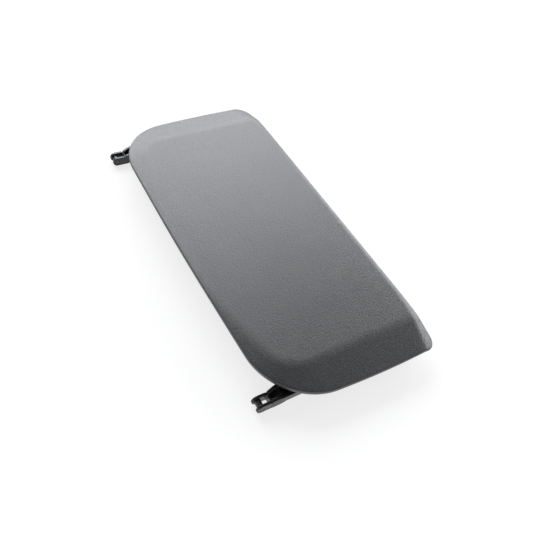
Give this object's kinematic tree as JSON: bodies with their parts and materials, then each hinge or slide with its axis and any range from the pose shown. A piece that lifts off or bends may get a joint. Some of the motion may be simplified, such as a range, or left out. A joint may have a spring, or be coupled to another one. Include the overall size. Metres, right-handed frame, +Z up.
{
  "type": "hinged armrest pad",
  "caption": "Padded, leather-grained armrest lid with a moulded underside, carried on black gooseneck hinge arms and turning on steel cross pins.",
  "frame": {"origin": "centre of the part's box at its base, the plane under the forks of the hinge arms", "axes": "+X along the lid, parallel to the hinge axis; +Y from the hinge edge to the front edge; +Z up, out of the padded top"},
  "size_m": [0.3017, 0.143, 0.0219],
  "materials": {
    "cover_skin": "fine-grained charcoal skin with a soft sheen",
    "foam": "soft moulded foam, hidden",
    "carrier_plastic": "plain moulded, matt",
    "liner_plastic": "fine spark-eroded texture, matt",
    "arm_plastic": "glossy black moulding",
    "pin_steel": "ground steel",
    "screw_steel": "dark zinc plate",
    "buffer_rubber": "soft black rubber"
  },
  "bodies": {
    "left_pin": {"hinge_pin_left": "pin_steel"},
    "lid": {"cover_skin": "cover_skin", "foam_pad": "foam", "lid_carrier": "carrier_plastic", "inner_liner": "liner_plastic", "hinge_arm_left": "arm_plastic", "hinge_arm_right": "arm_plastic", "arm_screws_left": "screw_steel", "arm_screws_right": "screw_steel", "liner_screws": "screw_steel", "buffer_left": "buffer_rubber", "buffer_right": "buffer_rubber"},
    "right_pin": {"hinge_pin_right": "pin_steel"}
  },
  "joints": [
    {"name": "lid_swing", "type": "hinge", "parent": "left_pin", "child": "lid", "pos_m": [-0.1313, -0.06755, 0.0039], "axis": [1, 0, 0], "range_deg": [0, 100]},
    {"name": "right_pin_turn", "type": "hinge", "parent": "lid", "child": "right_pin", "pos_m": [0.1313, -0.06755, 0.0039], "axis": [1, 0, 0], "range_deg": [-100, 0]}
  ],
  "couplings": [
    {"joint": "right_pin_turn", "follows": "lid_swing", "ratio": -1}
  ]
}
